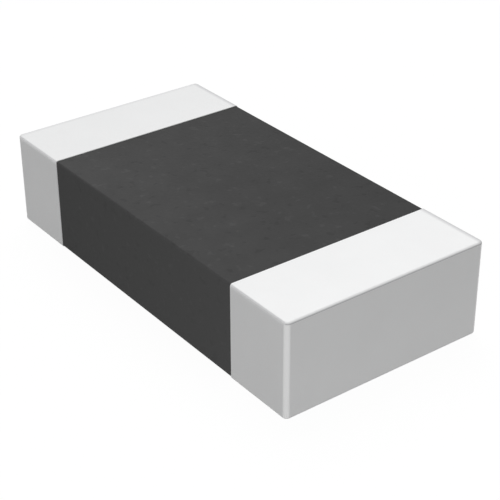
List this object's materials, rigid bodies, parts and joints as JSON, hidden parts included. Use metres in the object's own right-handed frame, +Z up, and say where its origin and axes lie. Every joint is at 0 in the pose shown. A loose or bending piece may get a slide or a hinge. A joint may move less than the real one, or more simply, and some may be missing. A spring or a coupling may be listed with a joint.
{
  "type": "smd ceramic capacitor",
  "caption": "Flat rectangular ceramic chip capacitor with tinned metal ends that wrap onto all its long faces, for soldering flat onto a circuit board.",
  "frame": {"origin": "centre of the underside, on the plane that the two terminals rest on", "axes": "+X along the chip's length, towards the right terminal; +Y across its width; +Z up, away from the board"},
  "size_m": [0.0032, 0.0016, 0.0007],
  "materials": {
    "ceramic": "matte",
    "matt_tin": "satin",
    "plated_nickel": "satin",
    "fired_copper": "matte",
    "electrode_nickel": "satin"
  },
  "bodies": {
    "root": {"ceramic_body": "ceramic", "left_electrode_01": "electrode_nickel", "right_electrode_02": "electrode_nickel", "left_electrode_03": "electrode_nickel", "right_electrode_04": "electrode_nickel", "left_electrode_05": "electrode_nickel", "right_electrode_06": "electrode_nickel", "left_electrode_07": "electrode_nickel", "right_electrode_08": "electrode_nickel", "left_electrode_09": "electrode_nickel", "right_electrode_10": "electrode_nickel", "left_electrode_11": "electrode_nickel", "right_electrode_12": "electrode_nickel", "left_electrode_13": "electrode_nickel", "right_electrode_14": "electrode_nickel", "left_electrode_15": "electrode_nickel", "right_electrode_16": "electrode_nickel", "left_electrode_17": "electrode_nickel", "right_electrode_18": "electrode_nickel", "left_electrode_19": "electrode_nickel", "right_electrode_20": "electrode_nickel", "left_electrode_21": "electrode_nickel", "right_electrode_22": "electrode_nickel", "left_electrode_23": "electrode_nickel", "right_electrode_24": "electrode_nickel", "left_electrode_25": "electrode_nickel", "right_electrode_26": "electrode_nickel", "left_electrode_27": "electrode_nickel", "right_electrode_28": "electrode_nickel", "left_copper_base": "fired_copper", "left_nickel_barrier": "plated_nickel", "left_tin_plating": "matt_tin", "right_copper_base": "fired_copper", "right_nickel_barrier": "plated_nickel", "right_tin_plating": "matt_tin"}
  },
  "joints": []
}
